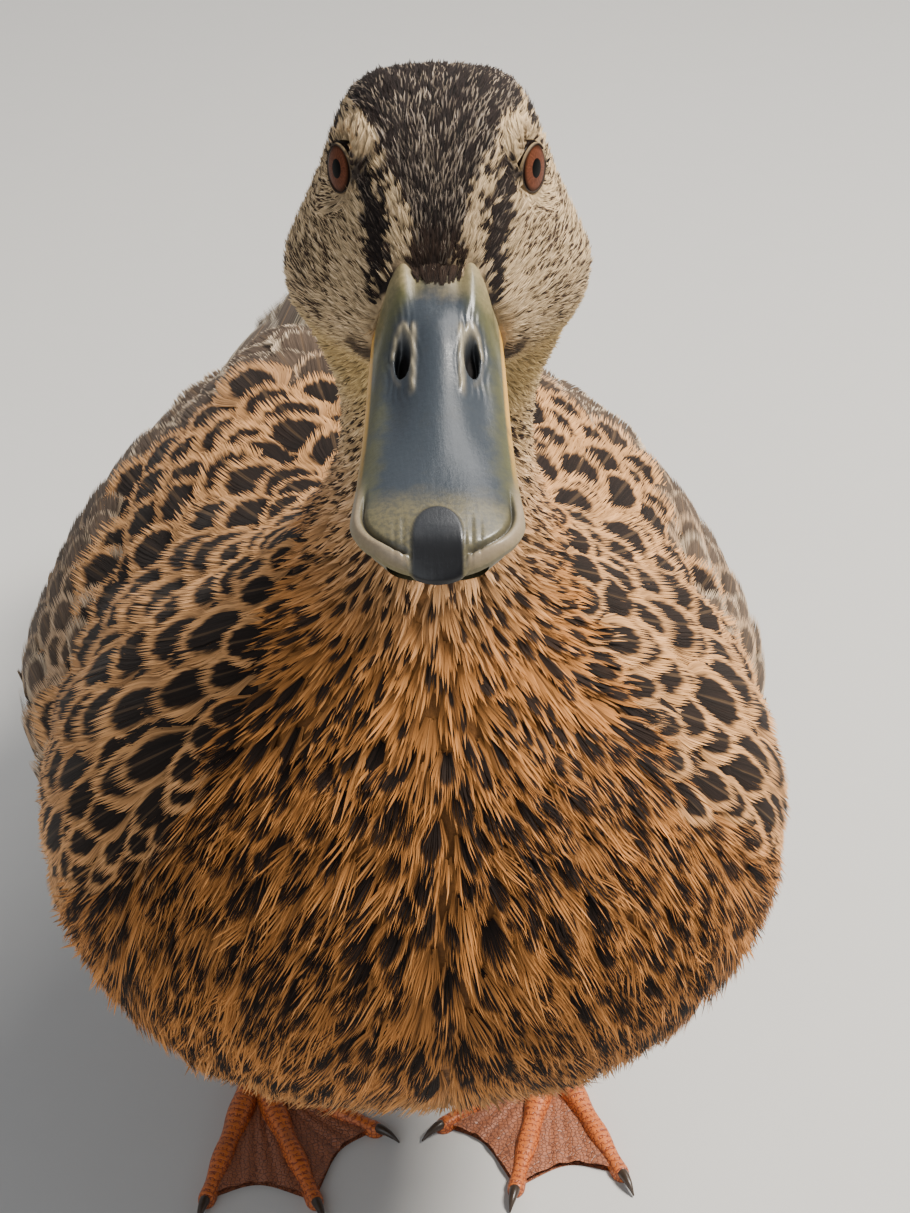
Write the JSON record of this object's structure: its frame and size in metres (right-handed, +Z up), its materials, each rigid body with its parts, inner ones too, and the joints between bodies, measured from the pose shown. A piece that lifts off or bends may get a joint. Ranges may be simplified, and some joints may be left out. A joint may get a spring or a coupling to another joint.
{
  "type": "mallard duck model",
  "caption": "Standing hen mallard duck, a still life-size model with a flat broad bill, closed wings, a short tail and webbed feet.",
  "frame": {"origin": "on the ground, under the middle of the box round the bird", "axes": "+Z up, the bird faces -Y, and her left side is +X"},
  "size_m": [0.1856, 0.414, 0.3209],
  "materials": {
    "plumage": "matt feathers, rusty buff with dark streaks",
    "mottled": "matt feathers, dark brown with buff edges",
    "flight": "satin feathers, grey-brown with pale edges",
    "bill": "smooth horn, slate with olive sides",
    "skin": "scaly orange-red skin",
    "claw": "dark horn",
    "eye": "wet, very glossy dark brown"
  },
  "bodies": {
    "root": {"head": "plumage", "neck": "plumage", "breast": "plumage", "trunk": "mottled", "rump": "mottled", "tail": "flight", "scapulars_left": "mottled", "scapulars_right": "mottled", "wing_left": "mottled", "wing_right": "mottled", "primaries_left": "flight", "primaries_right": "flight", "thigh_left": "plumage", "thigh_right": "plumage", "bill_upper": "bill", "bill_lower": "bill", "eye_left": "eye", "eye_right": "eye", "leg_left": "skin", "leg_right": "skin", "foot_left": "skin", "foot_right": "skin", "claw_left_inner": "claw", "claw_left_middle": "claw", "claw_left_outer": "claw", "claw_left_hind": "claw", "claw_right_inner": "claw", "claw_right_middle": "claw", "claw_right_outer": "claw", "claw_right_hind": "claw"}
  },
  "joints": []
}
